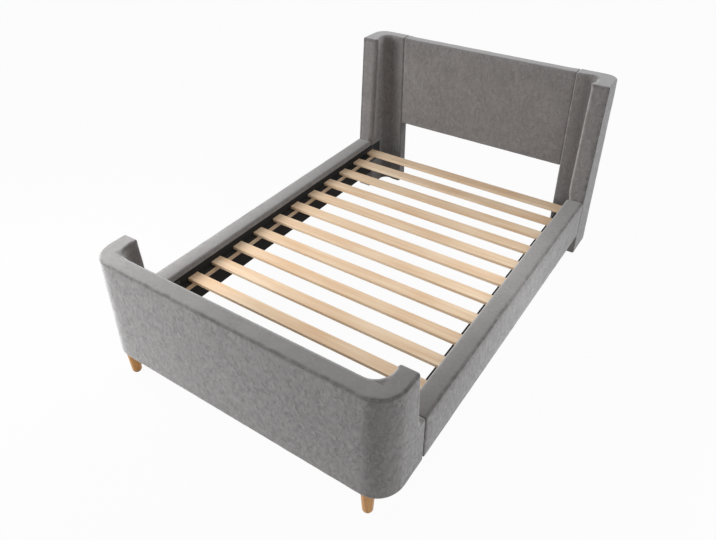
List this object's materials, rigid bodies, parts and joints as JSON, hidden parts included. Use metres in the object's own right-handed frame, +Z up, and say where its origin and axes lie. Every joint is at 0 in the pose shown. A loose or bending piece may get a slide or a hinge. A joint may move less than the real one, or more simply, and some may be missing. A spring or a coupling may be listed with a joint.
{
  "type": "upholstered bed frame",
  "caption": "Upholstered bed frame: curved wraparound footboard, boxed side rails, slatted base, and a headboard with L-shaped leaning wings.",
  "frame": {"origin": "centre of the bed's footprint, at floor level", "axes": "+Z up; +Y along the bed towards the head; +X across the bed, to the right of someone who looks from the foot to the head"},
  "size_m": [1.396, 2.155, 0.94],
  "materials": {
    "cloth": "grey velvet-like weave with faint lighter flecks",
    "foam": "off-white upholstery foam",
    "plywood": "raw plywood",
    "pine": "planed pale pine",
    "oak": "honey-coloured satin lacquer",
    "lining": "black felt lining",
    "black_steel": "black powder coat",
    "zinc_steel": "zinc plated",
    "glide": "black moulded plastic"
  },
  "bodies": {
    "root": {"footboard_cover": "cloth", "footboard_foam": "foam", "footboard_outer_skin": "plywood", "footboard_inner_skin": "plywood", "footboard_base_plate": "plywood", "footboard_top_plate": "plywood", "footboard_studs": "pine", "footboard_end_posts": "pine", "foot_left": "oak", "foot_right": "oak", "foot_bolts": "zinc_steel", "foot_tee_nuts": "zinc_steel", "foot_glides": "glide", "rail_cover_left": "cloth", "rail_cover_right": "cloth", "rail_foam_left": "foam", "rail_foam_right": "foam", "rail_board_left": "pine", "rail_board_right": "pine", "rail_side_left": "plywood", "rail_side_right": "plywood", "rail_battens_left": "pine", "rail_battens_right": "pine", "rail_lining_left": "lining", "rail_lining_right": "lining", "ledger_left": "pine", "ledger_right": "pine", "ledger_screws": "zinc_steel", "joint_plate_head_left": "black_steel", "joint_plate_head_right": "black_steel", "joint_plate_foot_left": "black_steel", "joint_plate_foot_right": "black_steel", "joint_bolts": "black_steel", "wing_cover_left": "cloth", "wing_cover_right": "cloth", "wing_foam_left": "foam", "wing_foam_right": "foam", "wing_frame_left": "pine", "wing_frame_right": "pine", "wing_glides_left": "glide", "wing_glides_right": "glide", "panel_cover": "cloth", "panel_foam": "foam", "panel_board": "plywood", "panel_frame": "pine", "panel_bolts": "zinc_steel", "slat_01": "pine", "slat_02": "pine", "slat_03": "pine", "slat_04": "pine", "slat_05": "pine", "slat_06": "pine", "slat_07": "pine", "slat_08": "pine", "slat_09": "pine", "slat_10": "pine", "slat_11": "pine", "slat_12": "pine", "slat_screws": "zinc_steel"}
  },
  "joints": []
}
